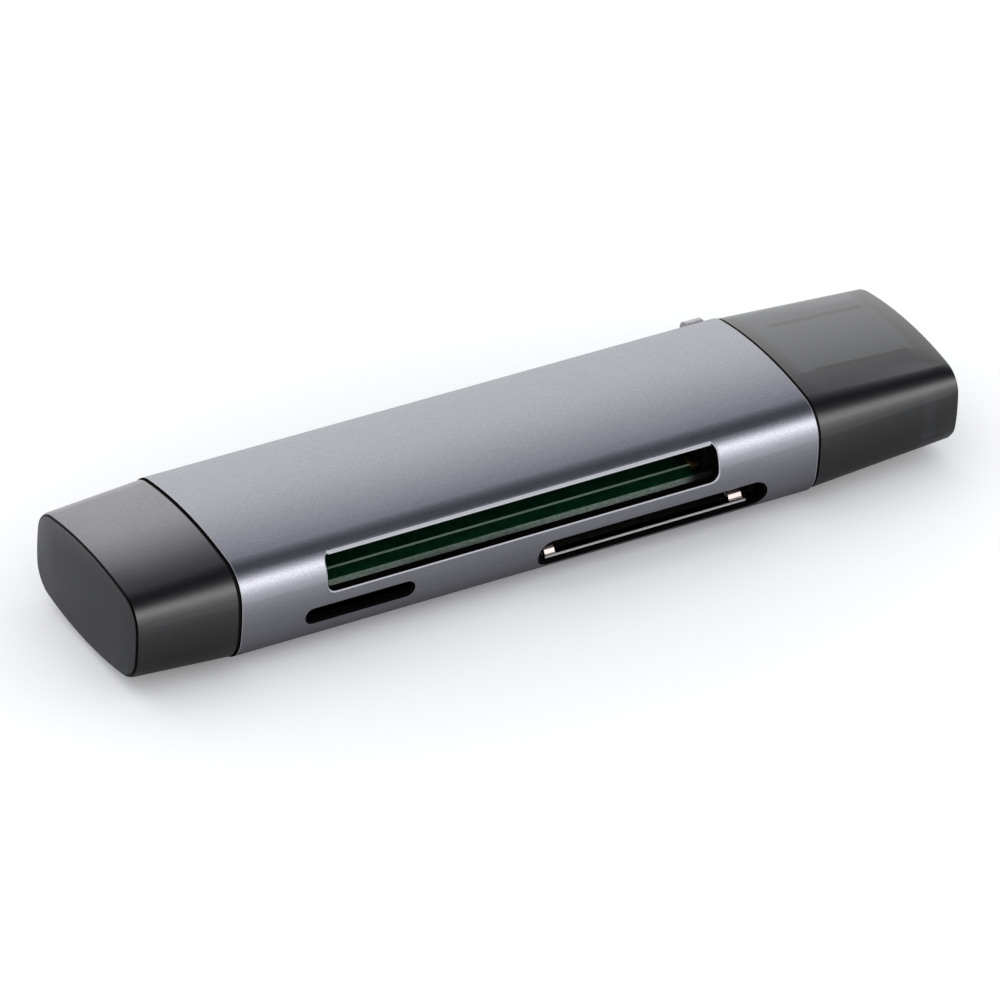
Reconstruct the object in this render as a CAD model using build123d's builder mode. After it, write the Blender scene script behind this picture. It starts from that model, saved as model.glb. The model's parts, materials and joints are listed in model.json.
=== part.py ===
from build123d import *
import math
import os

os.makedirs("parts", exist_ok=True)

# A pocket memory card reader: an aluminium tube with three card openings along its front
# and a plug at each end, each plug under a pull-off cap of smoked plastic.
# X runs along the tube, the openings face -Y and Z is up. The origin is the middle of the
# flat land under the tube. Sizes are in millimetres and angles in degrees.

# Cards that go into the reader
wide_card_width = 42.8
wide_card_thickness = 3.3
standard_card_width = 24.0
standard_card_thickness = 2.1
small_card_width = 11.0
small_card_thickness = 0.7

# Card openings in the tube: the play at each side, above and below the card
wide_opening_side_play = 0.35
wide_opening_play = 0.23
wide_opening_corner_radius = 0.9
wide_opening_offset = -1.0
standard_opening_side_play = 0.8
standard_opening_play = 0.33
small_opening_side_play = 0.33
small_opening_play = 0.37
opening_rim_chamfer = 0.2
wall_lean_limit = 0.01
rim_lean_limit = 0.9

# Tube: a drawn pillow section with a narrow flat land to stand on
tube_width = 21.8
tube_wall = 1.0
crown_radius = 41.3
side_radius = 19.2
corner_radius = 3.8
land_width = 5.0

# Circuit board
board_thickness = 1.0
board_front_setback = 1.3
board_back_setback = 0.5
board_corner_radius = 0.6
board_notch_clearance = 0.3
board_engagement = 1.8

# Wide card header, a U-shaped moulding on top of the board
wide_card_lift = 0.5
header_card_clearance = 0.15
header_arm_width = 1.8
header_arm_height = 2.75
header_arm_setback = 1.6
header_arm_nose_radius = 0.8
header_bar_front = 1.6
header_bar_depth = 4.0
header_bar_height = 3.5
header_rail_height = 0.7
header_rail_depth = 0.6
header_rail_lift = 1.75
pin_count_per_row = 25
pin_pitch = 1.27
pin_row_pitch = 1.27
pin_thickness = 0.45
pin_reach = 3.4
pin_point_length = 0.3
pin_hole_clearance = 0.03
pin_foot_length = 0.7
pin_foot_thickness = 0.22
lower_pin_leg_offset = 0.6
upper_pin_leg_offset = 1.7
strap_width = 1.2
strap_thickness = 0.22
strap_setback = 3.3
strap_overhang = 0.7
strap_lip_height = 0.42
strap_notch_clearance = 0.05

# Card sockets under the board
card_clearance = 0.1
socket_sheet = 0.15
socket_rear_wall = 1.0
socket_spring_thickness = 0.12
socket_spring_foot = 0.6
socket_spring_slot_clearance = 0.1
socket_spring_dip = 0.45
standard_socket_floor = 0.65
standard_socket_rail = 0.75
standard_socket_setback = 1.1
standard_contact_count = 9
standard_contact_pitch = 2.5
standard_contact_width = 0.9
standard_contact_length = 6.5
cover_lip_reach = 0.7
cover_lip_side_gap = 0.05
cover_ramp_width = 1.5
cover_ramp_inset = 1.5
cover_ramp_root = 0.3
cover_ramp_length = 3.0
cover_ramp_rise = 0.8
cover_ramp_gap = 0.25
cover_window_length = 6.0
cover_window_width = 3.0
cover_tongue_gap = 0.5
cover_window_spacing = 12.0
small_socket_floor = 0.5
small_socket_rail = 1.25
small_socket_setback = 1.3
small_socket_depth = 14.6
small_contact_count = 8
small_contact_pitch = 1.1
small_contact_width = 0.6
small_contact_length = 5.0
small_cover_window_length = 3.0
small_cover_window_width = 1.8
small_cover_window_spacing = 6.0
belly_gap = 1.5

# Rectangular plug at the right end
rectangular_plug_width = 12.0
rectangular_plug_height = 4.5
rectangular_plug_reach = 12.0
rectangular_plug_root = 5.0
rectangular_plug_sheet = 0.3
rectangular_plug_corner_radius = 0.6
rectangular_root_gap = 0.58
plug_window_length = 2.0
plug_window_width = 2.3
plug_window_setback = 5.2
plug_window_spacing = 5.6
plug_seam_width = 0.12
plug_ear_length = 1.2
plug_ear_reach = 1.4
plug_ear_thickness = 0.3
plug_ear_root_gap = 0.2
insulator_clearance = 0.03
insulator_block_length = 6.2
insulator_tip_setback = 0.5
tongue_thickness = 1.9
flat_contact_length = 6.4
flat_contact_width = 1.1
flat_contact_thickness = 0.15
flat_contact_setback = 0.8
outer_contact_spacing = 7.0
inner_contact_spacing = 2.0
raised_contact_count = 5
raised_contact_pitch = 2.0
raised_contact_width = 0.7
raised_contact_length = 1.8
raised_contact_height = 0.55
raised_contact_gap = 0.6
tail_length = 1.5
tail_width = 0.4
tail_thickness = 0.15
tail_pitch = 1.1

# Oval plug at the left end
oval_plug_width = 8.34
oval_plug_height = 2.56
oval_plug_reach = 6.65
oval_plug_root = 5.1
oval_plug_sheet = 0.22
oval_shell_root = 3.0
oval_block_root = 3.4
oval_block_front = 0.5
oval_tip_setback = 0.4
oval_contact_count = 12
oval_contact_pitch = 0.5
oval_contact_width = 0.25
oval_contact_thickness = 0.12
oval_channel_clearance = 0.02
oval_mouth_width = 6.7
latch_thickness = 0.2
latch_height = 0.9
latch_length = 4.6
latch_hook_depth = 0.35
latch_hook_length = 0.9
straddle_gap = 0.2
oval_root_gap = 0.9

# End collars between the tube and the caps
collar_depth = 3.2
collar_fit = 0.05
collar_wall = 1.2
collar_web_height = 3.0
collar_flange = 0.35
collar_flange_recess = 0.2
spigot_length = 1.55
spigot_edge_chamfer = 0.25
plug_fit = 0.05
tunnel_wall = 1.0

# Pull-off caps
cap_wall = 1.2
cap_end_wall = 1.3
cap_step = 0.1
cap_clearance = 0.25
cap_edge_radius = 0.45
cap_edge_steps = 2
cap_rib_thickness = 0.9
cap_rib_clearance = 0.3
long_cap_tip_gap = 1.95
long_cap_draft = 3.4
long_cap_rib_spacing = 8.8
long_cap_rib_start = 3.95
short_cap_tip_gap = 1.05
short_cap_draft = 3.6
short_cap_rib_spacing = 5.2
short_cap_rib_start = 3.0

# Parts on the underside of the board, in the bay between the two sockets
chip_bay_length = 12.82
chip_body_size = 7.0
chip_body_thickness = 1.0
chip_standoff = 0.1
chip_lead_count = 8
chip_lead_pitch = 0.8
chip_lead_width = 0.35
chip_lead_thickness = 0.12
chip_lead_reach = 1.0
chip_lead_foot = 0.45
crystal_length = 3.2
crystal_width = 2.5
crystal_height = 0.8
crystal_corner_radius = 0.2
crystal_edge_gap = 1.4
crystal_gap = 1.4
regulator_length = 2.9
regulator_width = 1.6
regulator_height = 1.0
chip_capacitor_length = 1.0
chip_capacitor_width = 0.5
chip_capacitor_height = 0.5
chip_capacitor_pitch = 1.5
chip_capacitor_count = 6
chip_row_gap = 0.45
chip_resistor_length = 1.0
chip_resistor_width = 0.5
chip_resistor_height = 0.35
chip_resistor_pitch = 1.3
chip_resistor_count = 4
lamp_length = 1.6
lamp_width = 0.8
lamp_height = 0.6
lamp_edge_gap = 1.0
lamp_plug_gap = 1.6

# Lanyard eye behind the right end of the tube
eye_width = 1.9
eye_radius = 1.05
eye_hole_radius = 0.55
eye_lift = 2.3
eye_stand_off = 0.58
eye_overhang = 0.2
eye_neck_height = 1.5
eye_shank_radius = 0.5
eye_shank_length = 2.0
eye_shank_clearance = 0.05
eye_seat_gap = 0.05

# Heights worked out from the stack of cards and board
standard_socket_height = (
    standard_socket_floor + standard_card_thickness + 2 * card_clearance + socket_sheet
)
tube_height = board_thickness + 2 * (standard_socket_height + belly_gap + tube_wall)
land_depth = crown_radius - math.sqrt(crown_radius**2 - (land_width / 2) ** 2)
mid_z = tube_height / 2 - land_depth
board_top = mid_z + board_thickness / 2
board_bottom = mid_z - board_thickness / 2
wide_card_z = board_top + wide_card_lift + wide_card_thickness / 2
standard_card_z = board_bottom - (
    standard_socket_floor + card_clearance + standard_card_thickness / 2
)
small_card_z = board_bottom - (
    small_socket_floor + card_clearance + small_card_thickness / 2
)

# Places along the tube, from its left end to its right end
small_socket_width = small_card_width + 2 * (
    card_clearance + small_socket_rail + socket_sheet
)
standard_socket_width = standard_card_width + 2 * (
    card_clearance + standard_socket_rail + socket_sheet
)
tube_length = (
    oval_plug_root
    + oval_root_gap
    + small_socket_width
    + chip_bay_length
    + standard_socket_width
    + rectangular_root_gap
    + rectangular_plug_root
)
right_end = tube_length / 2
left_end = -tube_length / 2
small_socket_x = left_end + oval_plug_root + oval_root_gap + small_socket_width / 2
standard_socket_x = (
    right_end - rectangular_plug_root - rectangular_root_gap - standard_socket_width / 2
)
chip_bay_x = small_socket_x + small_socket_width / 2 + chip_bay_length / 2
rectangular_plug_rear = right_end - rectangular_plug_root
rectangular_plug_tip = (
    right_end + collar_flange + spigot_length + rectangular_plug_reach
)
oval_tail_end = left_end + oval_plug_root
oval_plug_tip = left_end - collar_flange - spigot_length - oval_plug_reach
oval_block_rear = left_end + oval_block_root

# Places across the tube
outer_half_width = tube_width / 2
inner_half_width = outer_half_width - tube_wall
board_front = -inner_half_width + board_front_setback
board_back = inner_half_width - board_back_setback
board_width = board_back - board_front
standard_socket_front = -inner_half_width + standard_socket_setback
standard_socket_depth = 2 * (inner_half_width - standard_socket_setback)
small_socket_front = -inner_half_width + small_socket_setback


def cross(x):
    """Plane across the tube at x: its own x runs along +Y and its own y along +Z."""
    return Plane(origin=(x, 0, mid_z), x_dir=(0, 1, 0), z_dir=(1, 0, 0))


def pillow(x, width, height, crown, side, corner, inset=0.0):
    """Pillow-shaped face: two shallow crowns, two bowed sides and four rounded corners.

    inset draws it that far inside the outline that the sizes give."""
    with BuildSketch(cross(x)) as face:
        with Locations((0, height / 2 - crown)):
            Circle(crown - inset)
        with Locations((0, crown - height / 2)):
            Circle(crown - inset, mode=Mode.INTERSECT)
        with Locations((width / 2 - side, 0)):
            Circle(side - inset, mode=Mode.INTERSECT)
        with Locations((side - width / 2, 0)):
            Circle(side - inset, mode=Mode.INTERSECT)
        fillet(face.vertices(), corner - inset)
    return face.sketch


def tube_face(x, inset=0.0):
    """The tube's section at x, drawn that far inside its outer skin."""
    return pillow(
        x, tube_width, tube_height, crown_radius, side_radius, corner_radius, inset
    )


def row_places(count, pitch):
    """Places of a row of like things, centred on nought."""
    return [(index - (count - 1) / 2) * pitch for index in range(count)]


def finish(block, name):
    """Names the finished piece and writes it."""
    block.part.label = name
    export_step(block.part, f"parts/{name}.step")


# Aluminium tube
eye_x = right_end + eye_overhang - eye_width / 2
eye_y = outer_half_width + eye_stand_off
eye_z = mid_z + eye_lift
opening_cut_depth = corner_radius + tube_wall

with BuildPart() as aluminium_tube:
    extrude(tube_face(left_end), amount=tube_length)
    extrude(tube_face(left_end, tube_wall), amount=tube_length, mode=Mode.SUBTRACT)
    with BuildSketch(Plane.XY):
        Rectangle(tube_length, tube_width)
    extrude(amount=-tube_height, mode=Mode.SUBTRACT)
    with BuildSketch(Plane.XZ.offset(outer_half_width - opening_cut_depth)):
        with Locations((wide_opening_offset, wide_card_z)):
            RectangleRounded(
                wide_card_width + 2 * wide_opening_side_play,
                wide_card_thickness + 2 * wide_opening_play,
                wide_opening_corner_radius,
            )
        with Locations((standard_socket_x, standard_card_z)):
            SlotOverall(
                standard_card_width + 2 * standard_opening_side_play,
                standard_card_thickness + 2 * standard_opening_play,
            )
        with Locations((small_socket_x, small_card_z)):
            SlotOverall(
                small_card_width + 2 * small_opening_side_play,
                small_card_thickness + 2 * small_opening_play,
            )
    extrude(amount=2 * opening_cut_depth, mode=Mode.SUBTRACT)
    opening_walls = [
        face
        for face in aluminium_tube.faces()
        if abs(face.center().X) < right_end - wall_lean_limit
        and face.center().Y < corner_radius - outer_half_width
        and abs(face.normal_at().Y) < wall_lean_limit
    ]
    rim_edges = [
        edge
        for wall in opening_walls
        for edge in wall.edges()
        if edge.center().Y < wall.center().Y
        and abs((edge % 0.5).Y) < rim_lean_limit
    ]
    chamfer(rim_edges, opening_rim_chamfer)
    with BuildSketch(Plane.XZ.offset(-eye_y)):
        with Locations((eye_x, eye_z)):
            Circle(eye_shank_radius + eye_shank_clearance)
    extrude(amount=eye_shank_length, mode=Mode.SUBTRACT)
finish(aluminium_tube, "aluminium_tube")


# End collars: a thin flange between tube and cap, a spigot inside the cap, and a cored
# plug inside the tube that carries the board's prongs and the plug's shell
def end_collar(side, hole, tunnel_width, tunnel_height, shank_holes=()):
    """One collar. side is 1 at the right end and -1 at the left; hole draws the opening."""
    end_x = side * right_end
    with BuildPart() as collar:
        extrude(tube_face(end_x, collar_flange_recess), amount=side * collar_flange)
        extrude(
            tube_face(end_x, cap_step + cap_wall + cap_clearance),
            amount=side * (collar_flange + spigot_length),
        )
        spigot_edges = collar.edges().group_by(Axis.X)[-1 if side > 0 else 0]
        chamfer(spigot_edges, spigot_edge_chamfer)
        extrude(tube_face(end_x, tube_wall + collar_fit), amount=-side * collar_depth)
        with BuildSketch(cross(end_x)) as core:
            add(tube_face(end_x, tube_wall + collar_fit + collar_wall))
            Rectangle(tunnel_width, tunnel_height, mode=Mode.SUBTRACT)
            Rectangle(tube_width, collar_web_height, mode=Mode.SUBTRACT)
        extrude(amount=-side * collar_depth, mode=Mode.SUBTRACT)
        with BuildSketch(cross(end_x - side * collar_depth)):
            hole()
        extrude(
            amount=side * (collar_depth + collar_flange + spigot_length),
            mode=Mode.SUBTRACT,
        )
        with BuildSketch(Plane.XY.offset(mid_z)):
            with Locations((end_x - side * collar_depth, (board_front + board_back) / 2)):
                Rectangle(
                    2 * (board_engagement + collar_fit), board_width + 2 * collar_fit
                )
        extrude(
            amount=board_thickness / 2 + collar_fit, both=True, mode=Mode.SUBTRACT
        )
        for shank_x, shank_z in shank_holes:
            with BuildSketch(Plane.XZ.offset(-eye_y)):
                with Locations((shank_x, shank_z)):
                    Circle(eye_shank_radius + eye_shank_clearance)
            extrude(amount=eye_shank_length + eye_shank_clearance, mode=Mode.SUBTRACT)
    return collar


def rectangular_hole():
    RectangleRounded(
        rectangular_plug_width + 2 * plug_fit,
        rectangular_plug_height + 2 * plug_fit,
        rectangular_plug_corner_radius + plug_fit,
    )


def oval_hole():
    SlotOverall(oval_plug_width + 2 * plug_fit, oval_plug_height + 2 * plug_fit)


rectangular_end_collar = end_collar(
    1,
    rectangular_hole,
    rectangular_plug_width + 2 * (plug_fit + tunnel_wall),
    rectangular_plug_height + 2 * (plug_fit + tunnel_wall),
    [(eye_x, eye_z)],
)
finish(rectangular_end_collar, "rectangular_end_collar")

oval_end_collar = end_collar(
    -1,
    oval_hole,
    oval_plug_width + 2 * (plug_fit + tunnel_wall),
    oval_plug_height + 2 * (plug_fit + tunnel_wall),
)
finish(oval_end_collar, "oval_end_collar")


# Pull-off caps
def drafted_block(face, x, side, length, angle):
    """A face at x run out along the tube, its walls drafted so that it closes in evenly."""
    with BuildPart() as block:
        extrude(face, amount=side * length)
        walls = block.faces().filter_by(GeomType.PLANE, reverse=True)
        draft(walls, cross(x), side * angle)
    return block.part


def pull_cap(side, length, angle, ribs):
    """A cap that tapers evenly from its open mouth to its closed, round-edged end.

    The ribs above and below the plug are left between slots of the hollow. ribs holds
    the distance between them, their start from the mouth and the plug's height."""
    mouth_x = side * (right_end + collar_flange)
    mouth = (
        tube_width - 2 * cap_step,
        tube_height - 2 * cap_step,
        crown_radius,
        side_radius,
        corner_radius,
    )
    skin_length = length - cap_edge_radius
    closed_in = skin_length * math.tan(math.radians(angle))
    edge_sections = []
    for step in range(cap_edge_steps + 1):
        turn = math.radians(90 * step / cap_edge_steps)
        edge_sections.append(
            pillow(
                mouth_x + side * (skin_length + cap_edge_radius * math.sin(turn)),
                *mouth,
                closed_in + cap_edge_radius * (1 - math.cos(turn)),
            )
        )
    skin = drafted_block(pillow(mouth_x, *mouth), mouth_x, side, skin_length, angle)
    core = drafted_block(
        pillow(mouth_x, *mouth, cap_wall), mouth_x, side, length - cap_end_wall, angle
    )
    rib_spacing, rib_start, plug_height = ribs
    with BuildPart() as hollow:
        add(core)
        rib_height = tube_height / 2 - plug_height / 2 - cap_rib_clearance
        rib_middle = tube_height / 2 - rib_height / 2
        with BuildSketch(cross(mouth_x + side * rib_start)):
            with GridLocations(rib_spacing, 2 * rib_middle, 2, 2):
                Rectangle(cap_rib_thickness, rib_height)
        extrude(amount=side * length, mode=Mode.SUBTRACT)
    with BuildPart() as cap:
        add(skin)
        loft(edge_sections, ruled=True)
        add(hollow.part, mode=Mode.SUBTRACT)
    return cap


long_cap = pull_cap(
    1,
    spigot_length + rectangular_plug_reach + long_cap_tip_gap + cap_end_wall,
    long_cap_draft,
    (long_cap_rib_spacing, long_cap_rib_start, rectangular_plug_height),
)
finish(long_cap, "long_cap")

short_cap = pull_cap(
    -1,
    spigot_length + oval_plug_reach + short_cap_tip_gap + cap_end_wall,
    short_cap_draft,
    (short_cap_rib_spacing, short_cap_rib_start, oval_plug_height),
)
finish(short_cap, "short_cap")

# Circuit board, with prongs at both ends that slide into the collars
prong_end = right_end - collar_depth + board_engagement
oval_board_edge = oval_block_rear + straddle_gap
oval_notch_length = prong_end + oval_board_edge
oval_notch_width = oval_plug_width + 2 * (plug_fit + tunnel_wall)
rectangular_notch_length = prong_end - rectangular_plug_rear + board_notch_clearance
rectangular_notch_width = rectangular_plug_width + 2 * board_notch_clearance

with BuildPart() as main_board:
    with BuildSketch(Plane.XY.offset(board_bottom)) as board_outline:
        with Locations((0, (board_front + board_back) / 2)):
            Rectangle(2 * prong_end, board_width)
        with Locations((-prong_end, 0)):
            Rectangle(
                oval_notch_length,
                oval_notch_width,
                align=(Align.MIN, Align.CENTER),
                mode=Mode.SUBTRACT,
            )
        with Locations((prong_end, 0)):
            Rectangle(
                rectangular_notch_length,
                rectangular_notch_width,
                align=(Align.MAX, Align.CENTER),
                mode=Mode.SUBTRACT,
            )
        prong_corners = board_outline.vertices().group_by(Axis.X)
        fillet(prong_corners[0] + prong_corners[-1], board_corner_radius)
    extrude(amount=board_thickness)
finish(main_board, "main_board")

# Wide card header: a cross bar with pin holes and two guide arms with card rails
header_x = wide_opening_offset
header_inner_width = wide_card_width + 2 * header_card_clearance
header_outer_width = header_inner_width + 2 * header_arm_width
arm_front = -inner_half_width + header_arm_setback
arm_length = header_bar_front - arm_front
bar_back = header_bar_front + header_bar_depth
arm_centre = (header_inner_width + header_arm_width) / 2
strap_y = -inner_half_width + strap_setback
row_heights = (wide_card_z - pin_row_pitch / 2, wide_card_z + pin_row_pitch / 2)
pin_places = row_places(pin_count_per_row, pin_pitch)

with BuildPart() as wide_card_header:
    with BuildSketch(Plane.XY.offset(board_top)):
        with Locations((header_x, header_bar_front)):
            Rectangle(
                header_outer_width, header_bar_depth, align=(Align.CENTER, Align.MIN)
            )
    extrude(amount=header_bar_height)
    with BuildSketch(Plane.XY.offset(board_top)):
        with Locations(
            (header_x - arm_centre, arm_front), (header_x + arm_centre, arm_front)
        ):
            Rectangle(header_arm_width, arm_length, align=(Align.CENTER, Align.MIN))
    extrude(amount=header_arm_height)
    nose_edges = wide_card_header.edges().filter_by(Axis.X).sort_by(Axis.Y)[:4]
    fillet(nose_edges.sort_by(Axis.Z)[-2:], header_arm_nose_radius)
    with BuildSketch(Plane.XY.offset(board_top + header_rail_lift)):
        rail_x = (header_inner_width - header_rail_depth) / 2
        with Locations(
            (header_x - rail_x, arm_front + header_arm_nose_radius),
            (header_x + rail_x, arm_front + header_arm_nose_radius),
        ):
            Rectangle(
                header_rail_depth,
                arm_length - header_arm_nose_radius,
                align=(Align.CENTER, Align.MIN),
            )
    extrude(amount=header_rail_height)
    with BuildSketch(Plane.XZ.offset(-header_bar_front)):
        for row_z in row_heights:
            with Locations([(header_x + place, row_z) for place in pin_places]):
                Rectangle(
                    pin_thickness + 2 * pin_hole_clearance,
                    pin_thickness + 2 * pin_hole_clearance,
                )
    extrude(amount=-header_bar_depth, mode=Mode.SUBTRACT)
    with BuildSketch(Plane.XY.offset(board_top)):
        with Locations((header_x, strap_y)):
            Rectangle(
                header_outer_width, strap_width + 2 * strap_notch_clearance
            )
    extrude(amount=strap_thickness + strap_notch_clearance, mode=Mode.SUBTRACT)
finish(wide_card_header, "wide_card_header")

# Header pins: pointed bars through the cross bar, bent down to feet on the board
with BuildPart() as wide_card_pins:
    for row_z, leg_offset in zip(
        row_heights, (lower_pin_leg_offset, upper_pin_leg_offset)
    ):
        low = row_z - pin_thickness / 2 - mid_z
        high = row_z + pin_thickness / 2 - mid_z
        tip_y = header_bar_front - pin_reach
        leg_y = bar_back + leg_offset
        foot_z = board_top - mid_z
        leg_front = leg_y - pin_thickness / 2
        leg_back = leg_y + pin_thickness / 2
        with BuildSketch(*[cross(header_x + place) for place in pin_places]):
            with BuildLine():
                Polyline(
                    (tip_y, row_z - mid_z),
                    (tip_y + pin_point_length, low),
                    (leg_front, low),
                    (leg_front, foot_z),
                    (leg_front + pin_foot_length, foot_z),
                    (leg_front + pin_foot_length, foot_z + pin_foot_thickness),
                    (leg_back, foot_z + pin_foot_thickness),
                    (leg_back, high),
                    (tip_y + pin_point_length, high),
                    close=True,
                )
            make_face()
        extrude(amount=pin_thickness / 2, both=True)
finish(wide_card_pins, "wide_card_pins")

# Hold-down straps: brass strips under the header's arms, with an upturned inner lip
strap_inner_x = header_inner_width / 2 - strap_overhang
strap_outer_x = header_outer_width / 2 + strap_overhang

with BuildPart() as header_hold_downs:
    for side in (-1, 1):
        with BuildSketch(Plane.XZ.offset(-strap_y)):
            with BuildLine():
                Polyline(
                    (header_x + side * strap_inner_x, board_top),
                    (header_x + side * strap_outer_x, board_top),
                    (header_x + side * strap_outer_x, board_top + strap_thickness),
                    (
                        header_x + side * (strap_inner_x + strap_thickness),
                        board_top + strap_thickness,
                    ),
                    (
                        header_x + side * (strap_inner_x + strap_thickness),
                        board_top + strap_lip_height,
                    ),
                    (header_x + side * strap_inner_x, board_top + strap_lip_height),
                    close=True,
                )
            make_face()
        extrude(amount=strap_width / 2, both=True)
finish(header_hold_downs, "header_hold_downs")


# Card sockets: a moulded base against the board, a folded steel cover under it and a row
# of sprung contacts in slots of the base
def socket_base(centre, front, depth, card_size, base_sizes, contacts):
    """Moulded base: a floor against the board, two side rails and a slotted rear wall."""
    card_width, card_thickness = card_size
    floor, rail = base_sizes
    count, pitch, contact_width, contact_length = contacts
    card_space = card_thickness + 2 * card_clearance
    inner_width = card_width + 2 * card_clearance
    space_floor = board_bottom - floor - card_space
    with BuildPart() as base:
        with BuildSketch(Plane.XY.offset(space_floor)):
            with Locations((centre, front)):
                Rectangle(
                    inner_width + 2 * rail, depth, align=(Align.CENTER, Align.MIN)
                )
        extrude(amount=card_space + floor)
        with BuildSketch(Plane.XY.offset(space_floor)):
            with Locations((centre, front)):
                Rectangle(
                    inner_width,
                    depth - socket_rear_wall,
                    align=(Align.CENTER, Align.MIN),
                )
        extrude(amount=card_space, mode=Mode.SUBTRACT)
        with BuildSketch(Plane.XY.offset(board_bottom)):
            with Locations(
                [(centre + place, front + depth) for place in row_places(count, pitch)]
            ):
                Rectangle(
                    contact_width + 2 * socket_spring_slot_clearance,
                    contact_length + 2 * socket_spring_slot_clearance,
                    align=(Align.CENTER, Align.MAX),
                )
        extrude(amount=-floor, mode=Mode.SUBTRACT)
    return base


def socket_cover(centre, front, depth, card_size, base_sizes, windows, lip_width=0):
    """Folded steel cover: a plate with two spring tongues and a wall up each side.

    A socket with a front lip also has two sprung ramps at its mouth."""
    card_width, card_thickness = card_size
    floor, rail = base_sizes
    window_length, window_width, window_spacing = windows
    inner_width = card_width + 2 * (card_clearance + rail)
    height = floor + card_thickness + 2 * card_clearance + socket_sheet
    plate_bottom = board_bottom - height
    with BuildPart() as cover:
        with BuildSketch(Plane.XZ.offset(-front)):
            with Locations((centre, plate_bottom)):
                Rectangle(
                    inner_width + 2 * socket_sheet,
                    height,
                    align=(Align.CENTER, Align.MIN),
                )
            with Locations((centre, plate_bottom + socket_sheet)):
                Rectangle(
                    inner_width,
                    height,
                    align=(Align.CENTER, Align.MIN),
                    mode=Mode.SUBTRACT,
                )
        extrude(amount=-depth)
        with BuildSketch(Plane.XY.offset(plate_bottom)):
            with Locations((centre, front + depth / 2)):
                with GridLocations(window_spacing, window_length, 2, 1):
                    Rectangle(window_width, window_length)
                    Rectangle(
                        window_width - 2 * cover_tongue_gap,
                        window_length - 2 * cover_tongue_gap,
                        mode=Mode.SUBTRACT,
                    )
                    with Locations((0, -window_length / 2)):
                        Rectangle(
                            window_width - 2 * cover_tongue_gap,
                            2 * cover_tongue_gap,
                            align=(Align.CENTER, Align.MIN),
                            mode=Mode.SUBTRACT,
                        )
        extrude(amount=socket_sheet, mode=Mode.SUBTRACT)
        if lip_width:
            ramp_x = card_width / 2 - cover_ramp_inset
            root_y = front - cover_ramp_root
            end_y = root_y + cover_ramp_length
            with BuildSketch(Plane.XY.offset(plate_bottom)):
                with Locations((centre, front)):
                    Rectangle(
                        lip_width, cover_lip_reach, align=(Align.CENTER, Align.MAX)
                    )
            extrude(amount=socket_sheet)
            with BuildSketch(Plane.XY.offset(plate_bottom)):
                with Locations((centre - ramp_x, root_y), (centre + ramp_x, root_y)):
                    Rectangle(
                        cover_ramp_width + 2 * cover_ramp_gap,
                        cover_ramp_length + cover_ramp_gap,
                        align=(Align.CENTER, Align.MIN),
                    )
            extrude(amount=socket_sheet, mode=Mode.SUBTRACT)
            low = plate_bottom - mid_z
            for place in (centre - ramp_x, centre + ramp_x):
                with BuildSketch(cross(place)):
                    with BuildLine():
                        Polyline(
                            (root_y, low),
                            (end_y, low + cover_ramp_rise),
                            (end_y, low + cover_ramp_rise + socket_sheet),
                            (root_y, low + socket_sheet),
                            close=True,
                        )
                    make_face()
                extrude(amount=cover_ramp_width / 2, both=True)
    return cover


def socket_contacts(centre, front, depth, base_sizes, contacts):
    """Row of sprung strips, from solder feet behind the socket into the card space."""
    floor = base_sizes[0]
    count, pitch, contact_width, contact_length = contacts
    rear = front + depth
    tip_y = rear - contact_length
    bend_y = rear - contact_length / 2
    top = board_bottom - mid_z
    dip = top - floor - socket_spring_dip
    with BuildPart() as springs:
        with BuildSketch(*[cross(centre + place) for place in row_places(count, pitch)]):
            with BuildLine():
                Polyline(
                    (rear + socket_spring_foot, top),
                    (bend_y, top),
                    (tip_y + socket_spring_foot, dip + socket_spring_thickness),
                    (tip_y, dip + socket_spring_dip),
                    (tip_y, dip + socket_spring_dip - socket_spring_thickness),
                    (tip_y + socket_spring_foot, dip),
                    (bend_y, top - socket_spring_thickness),
                    (rear + socket_spring_foot, top - socket_spring_thickness),
                    close=True,
                )
            make_face()
        extrude(amount=contact_width / 2, both=True)
    return springs


standard_card = (standard_card_width, standard_card_thickness)
standard_base_sizes = (standard_socket_floor, standard_socket_rail)
standard_contact_sizes = (
    standard_contact_count,
    standard_contact_pitch,
    standard_contact_width,
    standard_contact_length,
)

standard_socket_base = socket_base(
    standard_socket_x,
    standard_socket_front,
    standard_socket_depth,
    standard_card,
    standard_base_sizes,
    standard_contact_sizes,
)
finish(standard_socket_base, "standard_socket_base")

standard_lip_width = (
    standard_card_width
    + 2 * standard_opening_side_play
    - standard_card_thickness
    - 2 * standard_opening_play
    - 2 * cover_lip_side_gap
)
standard_socket_cover = socket_cover(
    standard_socket_x,
    standard_socket_front,
    standard_socket_depth,
    standard_card,
    standard_base_sizes,
    (cover_window_length, cover_window_width, cover_window_spacing),
    standard_lip_width,
)
finish(standard_socket_cover, "standard_socket_cover")

standard_socket_contacts = socket_contacts(
    standard_socket_x,
    standard_socket_front,
    standard_socket_depth,
    standard_base_sizes,
    standard_contact_sizes,
)
finish(standard_socket_contacts, "standard_socket_contacts")

small_card = (small_card_width, small_card_thickness)
small_base_sizes = (small_socket_floor, small_socket_rail)
small_contact_sizes = (
    small_contact_count,
    small_contact_pitch,
    small_contact_width,
    small_contact_length,
)

small_socket_base = socket_base(
    small_socket_x,
    small_socket_front,
    small_socket_depth,
    small_card,
    small_base_sizes,
    small_contact_sizes,
)
finish(small_socket_base, "small_socket_base")

small_socket_cover = socket_cover(
    small_socket_x,
    small_socket_front,
    small_socket_depth,
    small_card,
    small_base_sizes,
    (small_cover_window_length, small_cover_window_width, small_cover_window_spacing),
)
finish(small_socket_cover, "small_socket_cover")

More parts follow.
